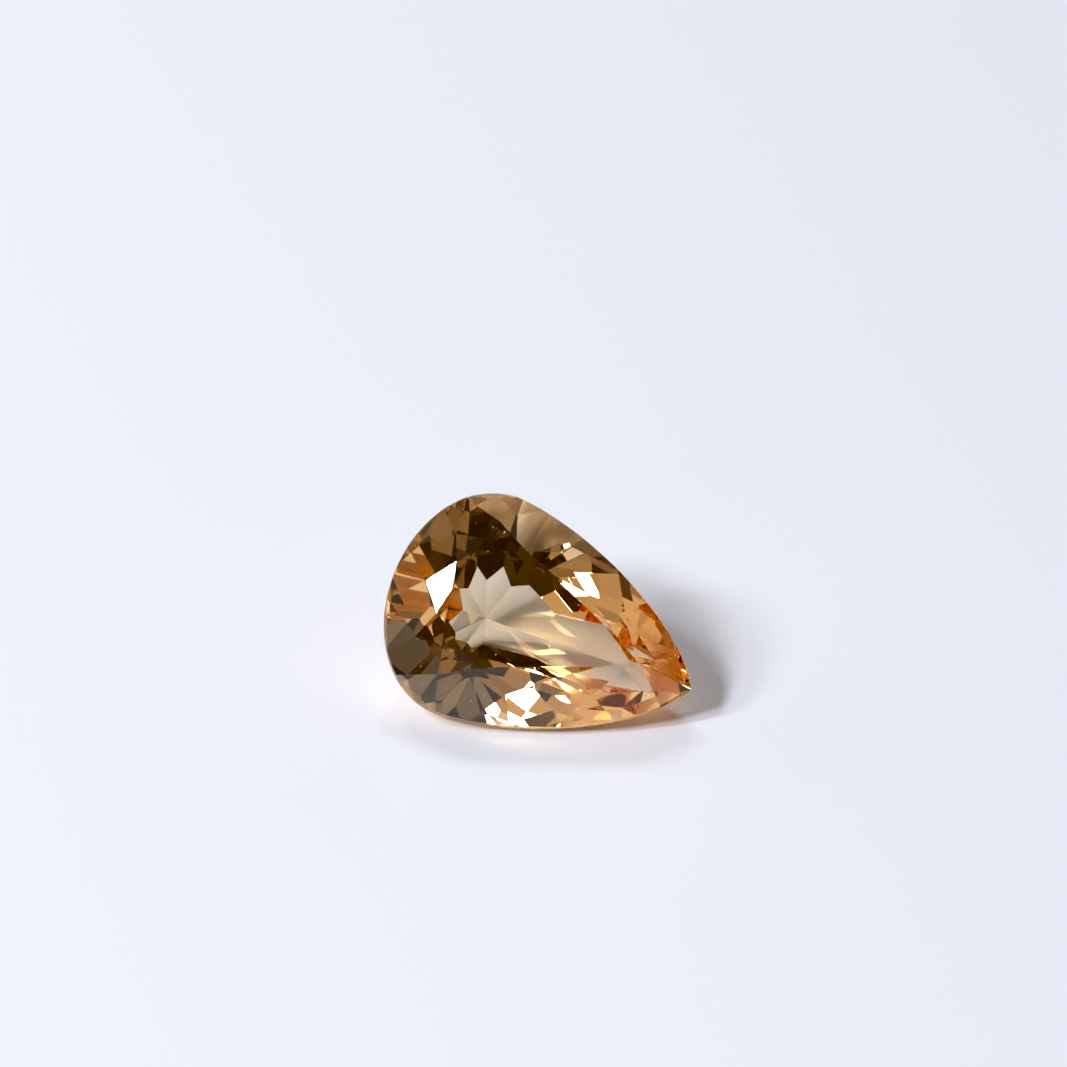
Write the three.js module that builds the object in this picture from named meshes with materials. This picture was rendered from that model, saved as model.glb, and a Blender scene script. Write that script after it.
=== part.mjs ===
// Imperial topaz: one loose cut stone, a pear-shaped brilliant.
// Millimetres, +Z up. The stone is first cut face up, its point towards +X and its table
// towards +Z, and is then laid on one pavilion facet, which ends flat at z = 0.
import * as THREE from "three";

// Outline of the girdle, measured from its widest line
const STONE_WIDTH = 7.0;
const HEAD_LENGTH = 2.65;
const TAIL_LENGTH = 6.95;
const TAIL_FULLNESS = 1.62;
const POINT_BLUNTNESS = 0.735;
const GIRDLE_STEPS = 30;

// Heights: the girdle, and the table over the upper edge of the girdle
const GIRDLE_THICKNESS = 0.44;
const TABLE_HEIGHT = 1.08;

// Crown, all on the +Y side, from the head to the point.
// Where the main kites and the girdle breaks between them touch the outline
const CROWN_MAIN_X = [-2.57, -1.48, 1.08, 3.57, 6.3];
const BREAK_X = [-2.65, -1.97, 0, 2.26, 5.2, 6.95];

// Inner ends of the girdle breaks, with their height over the girdle
const BREAKS = [
  [-1.7, 0, 0.7],
  [-1.35, 1.64, 0.68],
  [-0.33, 2.52, 0.68],
  [1.8, 2.33, 0.64],
  [4.19, 1.42, 0.64],
];

// Way each inner kite faces, in degrees from the point, and the height over the girdle
// where the last main, beside the point, ends
const INNER_KITE_FACING = [180, 146, 98, 76, 61];
const LAST_MAIN_TOP = 0.92;

// Corners of the table
const TABLE_CORNERS = [
  [-0.87, 0],
  [-0.72, 1.02],
  [0.03, 1.6],
  [1.7, 1.53],
  [4.17, 0.53],
  [5.11, 0],
];

// Pavilion. The keel falls along the middle line from the tail to the culet: place and
// depth under the girdle of the culet, of the break in the keel and of its end near the point
const KEEL = [
  [0.45, 3.23],
  [1.9, 2.77],
  [5.25, 1.28],
];

// Culet facets round the head by the direction they face. The two sides were cut to
// different slopes, so the pavilion has its own values on the +Y and on the -Y side:
// slopes of the culet facets, directions of the two long facets beside the keel, and the
// distance from the culet (for the last one from the break in the keel) to each notch,
// and where the mains and the girdle breaks between them touch the outline
const CULET_FACING = [156, 126, 94];
const PLUS_SIDE = {
  culetSlope: [37, 38, 38.6],
  keelFacing: [65, 53.6],
  notchRadius: [1.02, 1.08, 1.15, 0.93],
  mainX: [-2.65, -1.89, -0.59, 0.9, 3.8, 5.6],
  breakX: [-2.5, -1.35, 0.15, 2.3, 4.8, 6.95],
};
const MINUS_SIDE = {
  culetSlope: [34.5, 32, 31],
  keelFacing: [58, 44.6],
  notchRadius: [1.08, 1.0, 0.95, 0.75],
  mainX: [-2.65, -1.89, -0.59, 0.9, 3.0, 5.6],
  breakX: [-2.5, -1.35, 0.15, 2.0, 4.3, 6.95],
};
const HEAD_NOTCH_RADIUS = 0.75;

// How far the pavilion girdle facets reach down between two mains
const PAVILION_HALF_DROP = [0.9, 0.9, 0.9, 0.9, 0.8, 0.6];

// Resting facet: the pavilion main on the -Y side, counted from the head
const RESTING_MAIN = 4;

// Points nearer than this are one corner; a point this near to a cut lies on it
const SAME_POINT = 3e-3;
const ON_CUT = 1e-6;

const upperGirdle = GIRDLE_THICKNESS / 2;
const lowerGirdle = -GIRDLE_THICKNESS / 2;
const tableLevel = upperGirdle + TABLE_HEIGHT;

// Half width of the stone at a place along it
function halfWidth(x) {
  if (x <= 0) return (STONE_WIDTH / 2) * Math.sqrt(Math.max(0, 1 - (x / HEAD_LENGTH) ** 2));
  const run = Math.min(1, x / TAIL_LENGTH);
  return (STONE_WIDTH / 2) * (1 - run ** TAIL_FULLNESS) ** POINT_BLUNTNESS;
}

// Direction the outline faces at a place along it, in the plane of the girdle
function facingAt(x) {
  if (x <= -HEAD_LENGTH) return new THREE.Vector2(-1, 0);
  if (x <= 0) {
    const y = halfWidth(x);
    return new THREE.Vector2(x / HEAD_LENGTH ** 2, y / (STONE_WIDTH / 2) ** 2).normalize();
  }
  const step = 1e-4;
  const fall = (halfWidth(x - step) - halfWidth(x + step)) / (2 * step);
  return new THREE.Vector2(fall, 1).normalize();
}

// Flat cuts, each kept as an outward normal and a distance from the origin
function cutThrough(normal, point) {
  const outward = normal.clone().normalize();
  return new THREE.Plane(outward, -outward.dot(point));
}

function cutThroughThree(a, b, c) {
  const normal = new THREE.Vector3().crossVectors(b.clone().sub(a), c.clone().sub(a)).normalize();
  if (normal.dot(a) < 0) normal.negate();
  return cutThrough(normal, a);
}

function meetOf(a, b, c) {
  const m = new THREE.Matrix3().set(
    a.normal.x, a.normal.y, a.normal.z,
    b.normal.x, b.normal.y, b.normal.z,
    c.normal.x, c.normal.y, c.normal.z,
  );
  return new THREE.Vector3(-a.constant, -b.constant, -c.constant).applyMatrix3(m.invert());
}

function sloped(facing, degrees, up) {
  const slope = THREE.MathUtils.degToRad(degrees);
  return new THREE.Vector3(
    facing.x * Math.sin(slope),
    facing.y * Math.sin(slope),
    up * Math.cos(slope),
  );
}

function level(height) {
  return new THREE.Plane(new THREE.Vector3(0, 0, 1), -height);
}

function onGirdle(x, z) {
  return new THREE.Vector3(x, halfWidth(x), z);
}

function mirrored(plane) {
  const normal = plane.normal.clone();
  normal.y = -normal.y;
  return new THREE.Plane(normal, plane.constant);
}

const cuts = [];
function cutBothSides(plane) {
  cuts.push(plane);
  if (Math.abs(plane.normal.y) > 1e-6) cuts.push(mirrored(plane));
}

// Crown mains: the big kites whose outer points touch the girdle
const middle = new THREE.Plane(new THREE.Vector3(0, 1, 0), 0);
const corners = TABLE_CORNERS.map(([x, y]) => new THREE.Vector3(x, y, tableLevel));
const breaks = BREAKS.map(([x, y, height]) => new THREE.Vector3(x, y, upperGirdle + height));
breaks.push(corners[corners.length - 1]);
const crownMains = CROWN_MAIN_X.map((x, i) =>
  cutThroughThree(onGirdle(x, upperGirdle), breaks[i], breaks[i + 1]),
);
crownMains.forEach(cutBothSides);
cuts.push(level(tableLevel));

// Crown girdle facets: two triangles outside each break
breaks.forEach((point, i) => {
  const girdleBreak = onGirdle(BREAK_X[i], upperGirdle);
  if (i > 0) {
    cutBothSides(cutThroughThree(point, girdleBreak, onGirdle(CROWN_MAIN_X[i - 1], upperGirdle)));
  }
  if (i < crownMains.length) {
    cutBothSides(cutThroughThree(point, girdleBreak, onGirdle(CROWN_MAIN_X[i], upperGirdle)));
  }
});

// Inner kites: from each break up to a corner of the table
const innerKites = INNER_KITE_FACING.map((degrees, i) => {
  const turn = THREE.MathUtils.degToRad(degrees);
  const across = new THREE.Vector3(-Math.sin(turn), Math.cos(turn), 0);
  return cutThroughThree(breaks[i], corners[i], corners[i].clone().add(across));
});
innerKites.forEach(cutBothSides);

// Stars: one triangle between each two corners of the table and the top of a main
crownMains.forEach((main, i) => {
  const next = i + 1 < innerKites.length ? innerKites[i + 1] : level(upperGirdle + LAST_MAIN_TOP);
  const mainTop = meetOf(main, innerKites[i], next);
  cutBothSides(cutThroughThree(mainTop, corners[i], corners[i + 1]));
});

// Pavilion: culet facets round the head, then the two long facets beside the keel
const keel = KEEL.map(([x, depth]) => new THREE.Vector3(x, 0, lowerGirdle - depth));
function towards(degrees) {
  const turn = THREE.MathUtils.degToRad(degrees);
  return new THREE.Vector2(Math.cos(turn), Math.sin(turn));
}
function undersideOf(side) {
  const culetFacets = CULET_FACING.map((degrees, i) =>
    cutThrough(sloped(towards(degrees), side.culetSlope[i], -1), keel[0]),
  );
  const keelFacets = side.keelFacing.map((degrees, i) => {
    const rise = (keel[i + 1].z - keel[i].z) / (keel[i + 1].x - keel[i].x);
    const slope = Math.atan(rise / Math.cos(THREE.MathUtils.degToRad(degrees)));
    return cutThrough(sloped(towards(degrees), THREE.MathUtils.radToDeg(slope), -1), keel[i]);
  });
  return [...culetFacets, ...keelFacets];
}

// Notch: the place on the edge between two facets where a main begins
function notchBetween(before, after, start, radius) {
  const edge = new THREE.Vector3().crossVectors(before.normal, after.normal).normalize();
  if (edge.z < 0) edge.negate();
  return start.clone().addScaledVector(edge, radius / Math.hypot(edge.x, edge.y));
}

// Main: from its notch up to the girdle, level along the outline where it touches
function mainFrom(notch, x) {
  const facing = facingAt(x);
  const across = new THREE.Vector3(-facing.y, facing.x, 0);
  return cutThroughThree(notch, onGirdle(x, lowerGirdle), notch.clone().add(across));
}

const undersides = [PLUS_SIDE, MINUS_SIDE].map(undersideOf);
const headNotch = notchBetween(
  undersides[0][0],
  mirrored(undersides[1][0]),
  keel[0],
  HEAD_NOTCH_RADIUS,
);
const headMain = mainFrom(headNotch, PLUS_SIDE.mainX[0]);

const pavilionMains = [PLUS_SIDE, MINUS_SIDE].map((side, s) => {
  const underside = undersides[s];
  const mains = side.notchRadius.map((radius, i) => {
    const start = i < 3 ? keel[0] : keel[1];
    const notch = notchBetween(underside[i], underside[i + 1], start, radius);
    return mainFrom(notch, side.mainX[i + 1]);
  });
  return [headMain, ...mains, mainFrom(keel[2], side.mainX[5])];
});

// Pavilion girdle facets: two under each break in the girdle
function girdleFacetsOf(mains, side) {
  const facets = [];
  side.breakX.forEach((x, i) => {
    const after = i + 1 < mains.length ? mains[i + 1] : middle;
    const inner = meetOf(mains[i], after, level(lowerGirdle - PAVILION_HALF_DROP[i]));
    const outer = onGirdle(x, lowerGirdle);
    facets.push(cutThroughThree(inner, outer, onGirdle(side.mainX[i], lowerGirdle)));
    if (i + 1 < mains.length) {
      facets.push(cutThroughThree(inner, outer, onGirdle(side.mainX[i + 1], lowerGirdle)));
    }
  });
  return facets;
}
[PLUS_SIDE, MINUS_SIDE].forEach((side, s) => {
  const girdleFacets = girdleFacetsOf(pavilionMains[s], side);
  const planes = [...undersides[s], ...pavilionMains[s], ...girdleFacets];
  cuts.push(...(s === 0 ? planes : planes.map(mirrored)));
});

// Rough: a straight-sided block with the outline of the girdle
const outline = [];
for (let k = 0; k < GIRDLE_STEPS; k++) {
  const turn = (Math.PI / 2) * (k / GIRDLE_STEPS);
  const x = -HEAD_LENGTH * Math.cos(turn);
  outline.push(new THREE.Vector2(x, halfWidth(x)));
}
for (let k = 0; k <= GIRDLE_STEPS; k++) {
  const x = TAIL_LENGTH * (k / GIRDLE_STEPS) ** 0.9;
  outline.push(new THREE.Vector2(x, halfWidth(x)));
}
for (let k = outline.length - 2; k > 0; k--) outline.push(new THREE.Vector2(outline[k].x, -outline[k].y));

const roughTop = tableLevel + 1;
const roughBottom = keel[0].z - 1;
const top = outline.map((p) => new THREE.Vector3(p.x, p.y, roughTop)).reverse();
const bottom = outline.map((p) => new THREE.Vector3(p.x, p.y, roughBottom));
let faces = [top, bottom];
for (let k = 0; k < outline.length; k++) {
  const next = (k + 1) % outline.length;
  const a = bottom[k];
  const b = bottom[next];
  const c = b.clone().setZ(roughTop);
  const d = a.clone().setZ(roughTop);
  faces.push([b, a, d, c]);
}

// One flat cut: keeps what lies inside the plane and closes the block with a new facet
function lap(block, plane) {
  const kept = [];
  const rim = [];
  for (const face of block) {
    const inside = [];
    face.forEach((p, k) => {
      const q = face[(k + 1) % face.length];
      const dp = plane.distanceToPoint(p);
      const dq = plane.distanceToPoint(q);
      if (dp <= ON_CUT) inside.push(p);
      if (Math.abs(dp) <= ON_CUT) rim.push(p);
      if (Math.max(dp, dq) > ON_CUT && Math.min(dp, dq) < -ON_CUT) {
        const cut = p.clone().lerp(q, dp / (dp - dq));
        inside.push(cut);
        rim.push(cut);
      }
    });
    const flat = inside.every((p) => Math.abs(plane.distanceToPoint(p)) <= ON_CUT);
    if (inside.length > 2 && !flat) kept.push(inside);
  }
  const corner = [];
  for (const p of rim) if (!corner.some((q) => q.distanceTo(p) < 5 * ON_CUT)) corner.push(p);
  if (corner.length < 3) return kept;
  const centre = corner.reduce((sum, p) => sum.add(p), new THREE.Vector3()).divideScalar(corner.length);
  const side = corner[0].clone().sub(centre).normalize();
  const other = new THREE.Vector3().crossVectors(plane.normal, side);
  const turnOf = (p) => Math.atan2(p.clone().sub(centre).dot(other), p.clone().sub(centre).dot(side));
  corner.sort((p, q) => turnOf(p) - turnOf(q));
  kept.push(corner);
  return kept;
}
for (const plane of cuts) faces = lap(faces, plane);

// Facets that meet share the same corners
const shared = [];
function sharedPoint(p) {
  const found = shared.find((q) => q.distanceTo(p) < SAME_POINT);
  if (found) return found;
  shared.push(p);
  return p;
}
const positions = [];
for (const face of faces) {
  const ring = face.map(sharedPoint).filter((p, k, all) => p !== all[(k + 1) % all.length]);
  for (let k = 1; k + 1 < ring.length; k++) {
    for (const p of [ring[0], ring[k], ring[k + 1]]) positions.push(p.x, p.y, p.z);
  }
}
const geometry = new THREE.BufferGeometry();
geometry.setAttribute("position", new THREE.Float32BufferAttribute(positions, 3));
geometry.computeVertexNormals();

const topaz = new THREE.MeshStandardMaterial({ color: 0xd99a5b, roughness: 0.02, metalness: 0 });
const stone = new THREE.Mesh(geometry, topaz);
stone.name = "topaz_stone";

// Resting pose: the resting facet is turned to the front, then tipped until it faces down
const resting = mirrored(pavilionMains[1][RESTING_MAIN]).normal;
const spun = new THREE.Group();
spun.add(stone);
spun.rotation.z = -Math.PI / 2 - Math.atan2(resting.y, resting.x);
const tipped = new THREE.Group();
tipped.add(spun);
tipped.rotation.x = Math.atan2(Math.hypot(resting.x, resting.y), -resting.z);
tipped.updateMatrixWorld(true);
const reach = new THREE.Box3().setFromObject(tipped, true);
const centre = reach.getCenter(new THREE.Vector3());
tipped.position.set(-centre.x, -centre.y, -reach.min.z);

const part = new THREE.Group();
part.name = "imperial_topaz";
part.add(tipped);

export default part;
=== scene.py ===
import math

import bpy
from mathutils import Matrix, Vector

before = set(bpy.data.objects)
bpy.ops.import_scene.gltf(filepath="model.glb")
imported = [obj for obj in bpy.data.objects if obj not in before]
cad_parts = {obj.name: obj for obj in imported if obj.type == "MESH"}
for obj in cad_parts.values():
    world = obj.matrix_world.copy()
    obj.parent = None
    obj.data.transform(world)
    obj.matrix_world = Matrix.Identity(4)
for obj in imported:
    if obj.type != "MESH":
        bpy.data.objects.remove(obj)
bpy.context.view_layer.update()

# ------------------------------------------------------------------
# The stone
# ------------------------------------------------------------------
# A pear cut imperial topaz, about 9.6 mm by 7 mm, ground and polished from
# one clear peach-orange crystal.  Loose and unmounted, it lies on one of the
# long facets of its underside with the table tipped up toward the viewer.
table_tilt = math.radians(45.54)
girdle_level = 0.001896  # height of the girdle's middle, square to the table
girdle_half = 0.00021
refraction = 1.62
passed_colour = (0.975, 0.62, 0.0, 1)  # share of each colour that is let through
colour_depth = 136  # per metre of crystal
grain_scale = 9000
speck_spacing = 1300
speck_size = 0.035
edge_wear = 0.00003
grain_height = 0.00002

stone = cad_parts["topaz_stone"]
stone.data.shade_flat()

topaz = bpy.data.materials.new("topaz_crystal")
topaz.use_nodes = True
tree = topaz.node_tree
tree.nodes.clear()
out = tree.nodes.new("ShaderNodeOutputMaterial")
crystal = tree.nodes.new("ShaderNodeBsdfPrincipled")
crystal.inputs["Base Color"].default_value = (1, 1, 1, 1)
crystal.inputs["IOR"].default_value = refraction
crystal.inputs["Transmission Weight"].default_value = 1.0
tree.links.new(crystal.outputs["BSDF"], out.inputs["Surface"])

# Inside, the crystal takes blue and some green out of the light that crosses it
body_colour = tree.nodes.new("ShaderNodeVolumeAbsorption")
body_colour.inputs["Color"].default_value = passed_colour
body_colour.inputs["Density"].default_value = colour_depth
tree.links.new(body_colour.outputs["Volume"], out.inputs["Volume"])

# The facets are mirror polished.  The girdle, the band round the widest line,
# is left frosted, so it is picked out by its distance square to the table
place = tree.nodes.new("ShaderNodeTexCoord")
level = tree.nodes.new("ShaderNodeVectorMath")
level.operation = "DOT_PRODUCT"
level.inputs[1].default_value = (0, -math.sin(table_tilt), math.cos(table_tilt))
tree.links.new(place.outputs["Object"], level.inputs[0])
girdle = tree.nodes.new("ShaderNodeMath")
girdle.operation = "COMPARE"
girdle.inputs[1].default_value = girdle_level
girdle.inputs[2].default_value = girdle_half
tree.links.new(level.outputs["Value"], girdle.inputs[0])
grain = tree.nodes.new("ShaderNodeTexNoise")
grain.inputs["Scale"].default_value = grain_scale
grain.inputs["Detail"].default_value = 3
tree.links.new(place.outputs["Object"], grain.inputs["Vector"])
frost = tree.nodes.new("ShaderNodeMapRange")
frost.inputs["To Min"].default_value = 0.25
frost.inputs["To Max"].default_value = 0.6
tree.links.new(grain.outputs["Fac"], frost.inputs["Value"])
girdle_frost = tree.nodes.new("ShaderNodeMath")
girdle_frost.operation = "MULTIPLY"
tree.links.new(girdle.outputs["Value"], girdle_frost.inputs[0])
tree.links.new(frost.outputs["Result"], girdle_frost.inputs[1])

# A few specks of dust lie on the facets
specks = tree.nodes.new("ShaderNodeTexVoronoi")
specks.inputs["Scale"].default_value = speck_spacing
tree.links.new(place.outputs["Object"], specks.inputs["Vector"])
speck = tree.nodes.new("ShaderNodeMath")
speck.operation = "LESS_THAN"
speck.inputs[1].default_value = speck_size
tree.links.new(specks.outputs["Distance"], speck.inputs[0])
roughness = tree.nodes.new("ShaderNodeMath")
roughness.operation = "MAXIMUM"
tree.links.new(girdle_frost.outputs["Value"], roughness.inputs[0])
tree.links.new(speck.outputs["Value"], roughness.inputs[1])
tree.links.new(roughness.outputs["Value"], crystal.inputs["Roughness"])

# The edges between facets are very slightly worn, and the girdle has a fine grain
worn_edges = tree.nodes.new("ShaderNodeBevel")
worn_edges.samples = 4
worn_edges.inputs["Radius"].default_value = edge_wear
grain_depth = tree.nodes.new("ShaderNodeMath")
grain_depth.operation = "MULTIPLY"
grain_depth.inputs[1].default_value = 0.15
tree.links.new(girdle.outputs["Value"], grain_depth.inputs[0])
surface = tree.nodes.new("ShaderNodeBump")
surface.inputs["Distance"].default_value = grain_height
tree.links.new(grain_depth.outputs["Value"], surface.inputs["Strength"])
tree.links.new(grain.outputs["Fac"], surface.inputs["Height"])
tree.links.new(worn_edges.outputs["Normal"], surface.inputs["Normal"])
tree.links.new(surface.outputs["Normal"], crystal.inputs["Normal"])

stone.data.materials.clear()
stone.data.materials.append(topaz)

# ------------------------------------------------------------------
# Floor
# ------------------------------------------------------------------
# A sheet of smooth pale paper with a faint cool tint, laid flat.  It lies a
# hair below the stone, so that the two faces don't touch.
floor_drop = 0.00003
floor_width = 1.2

bpy.ops.mesh.primitive_plane_add(size=floor_width, location=(0, 0, -floor_drop))
floor = bpy.context.object
floor.name = "floor"
paper = bpy.data.materials.new("floor_paper")
paper.use_nodes = True
sheet = paper.node_tree.nodes["Principled BSDF"]
sheet.inputs["Base Color"].default_value = (0.81, 0.853, 0.955, 1)
sheet.inputs["Roughness"].default_value = 0.9
sheet.inputs["Specular IOR Level"].default_value = 0.2
floor.data.materials.append(paper)

# ------------------------------------------------------------------
# Studio light
# ------------------------------------------------------------------
# Three round lamps high on the left and two behind, each a small soft disc,
# in a dark room.  Parts of its walls are lit a soft warm white.
lamp_reach = 0.5
lamp_aim = Vector((0, 0, 0.003))


def round_lamp(name, toward, across_degrees, radiance):
    direction = Vector(toward).normalized()
    radius = lamp_reach * math.tan(math.radians(across_degrees / 2))
    lamp = bpy.data.lights.new(name, "AREA")
    lamp.shape = "DISK"
    lamp.size = 2 * radius
    lamp.energy = radiance * math.pi * math.pi * radius**2
    panel = bpy.data.objects.new(name, lamp)
    bpy.context.scene.collection.objects.link(panel)
    panel.location = lamp_aim + direction * lamp_reach
    panel.rotation_mode = "QUATERNION"
    panel.rotation_quaternion = direction.to_track_quat("Z", "Y")


round_lamp("key_lamp", (-0.62, -0.19, 0.76), 8, 57)
round_lamp("key_front", (-0.60, -0.43, 0.67), 10, 62)
round_lamp("key_left", (-0.77, -0.26, 0.59), 8, 53)
round_lamp("back_lamp", (0.0, 0.62, 0.79), 7, 29)
round_lamp("back_left", (-0.26, 0.62, 0.74), 7, 28)

room = bpy.data.worlds.new("room")
bpy.context.scene.world = room
room.use_nodes = True
walls = room.node_tree
way = walls.nodes.new("ShaderNodeTexCoord")
wall_light = walls.nodes.new("ShaderNodeBackground")
wall_light.inputs["Color"].default_value = (1.0, 0.8, 0.64, 1)
soft_edge = 3  # degrees either side of a patch's outline

# Each lit patch is round.  Degrees round from the point of the stone, degrees
# above the floor, half its width in degrees, and its brightness
lit_patches = (
    (165, 12, 24, 0.75),
    (143, 42, 11, 0.4),
    (105, 42, 13, 0.75),
    (52, 12, 20, 0.5),
    (42, 47, 8, 0.28),
    (0, 40, 16, 0.22),
    (182, 28, 14, 0.55),
    (24, 22, 8, 0.4),
    (-157, 42, 9, 0.6),
    (-122, 14, 16, 0.4),
    (150, 75, 14, 0.2),
    (72, 49, 8, 0.13),
    (96, 61, 6, 0.22),
    (-48, 36, 9, 0.18),
    (-66, 27, 9, 0.2),
    (0, 12, 9, 0.1),
    (-155, 60, 6, 0.35),
)
brightest = None
for around, above, half_width, brightness in lit_patches:
    across = math.cos(math.radians(above))
    middle = (
        across * math.cos(math.radians(around)),
        across * math.sin(math.radians(around)),
        math.sin(math.radians(above)),
    )
    nearness = walls.nodes.new("ShaderNodeVectorMath")
    nearness.operation = "DOT_PRODUCT"
    nearness.inputs[1].default_value = middle
    walls.links.new(way.outputs["Generated"], nearness.inputs[0])
    patch = walls.nodes.new("ShaderNodeMapRange")
    patch.interpolation_type = "SMOOTHSTEP"
    patch.inputs["From Min"].default_value = math.cos(math.radians(half_width + soft_edge))
    patch.inputs["From Max"].default_value = math.cos(math.radians(half_width - soft_edge))
    patch.inputs["To Max"].default_value = brightness
    walls.links.new(nearness.outputs["Value"], patch.inputs["Value"])
    if brightest is None:
        brightest = patch.outputs["Result"]
        continue
    brighter = walls.nodes.new("ShaderNodeMath")
    brighter.operation = "MAXIMUM"
    walls.links.new(brightest, brighter.inputs[0])
    walls.links.new(patch.outputs["Result"], brighter.inputs[1])
    brightest = brighter.outputs["Value"]
walls.links.new(brightest, wall_light.inputs["Strength"])

# Everywhere else the room gives back a very little cool light
room_dark = walls.nodes["Background"]
room_dark.inputs["Color"].default_value = (0.78, 0.88, 1.0, 1)
room_dark.inputs["Strength"].default_value = 0.06
both = walls.nodes.new("ShaderNodeAddShader")
walls.links.new(room_dark.outputs["Background"], both.inputs[0])
walls.links.new(wall_light.outputs["Background"], both.inputs[1])
walls.links.new(both.outputs["Shader"], walls.nodes["World Output"].inputs["Surface"])

# ------------------------------------------------------------------
# Camera
# ------------------------------------------------------------------
# It looks down from in front and a little to the left, held slightly aslant.
camera_above = math.radians(35.9)
camera_around = math.radians(-5.41)
camera_roll = math.radians(3.94)
camera_aim = Vector((-0.0001575, 0.0012709, 0.0046429))
camera_distance = 0.35
view_width = 0.03214  # metres across the picture, at the stone
sensor_width = 36

lens = bpy.data.cameras.new("camera")
lens.sensor_width = sensor_width
lens.lens = sensor_width * camera_distance / view_width
lens.clip_start = 0.01
camera = bpy.data.objects.new("camera", lens)
bpy.context.scene.collection.objects.link(camera)
turn = (
    Matrix.Rotation(camera_around, 4, "Z")
    @ Matrix.Rotation(math.pi / 2 - camera_above, 4, "X")
    @ Matrix.Rotation(camera_roll, 4, "Z")
)
step_back = turn @ Vector((0, 0, camera_distance))
camera.matrix_world = Matrix.Translation(camera_aim + step_back) @ turn
bpy.context.scene.camera = camera

# Light crosses the stone many times, and the deepest darks are a little crushed
light_bounces = 24
scene = bpy.context.scene
scene.cycles.max_bounces = light_bounces
scene.cycles.transmission_bounces = light_bounces
scene.cycles.glossy_bounces = light_bounces
scene.cycles.caustics_refractive = True
scene.cycles.caustics_reflective = True
scene.cycles.blur_glossy = 0
scene.view_settings.view_transform = "Standard"
scene.view_settings.use_curve_mapping = True
tones = scene.view_settings.curve_mapping
tones.black_level = (0.027, 0.027, 0.023)
tones.update()
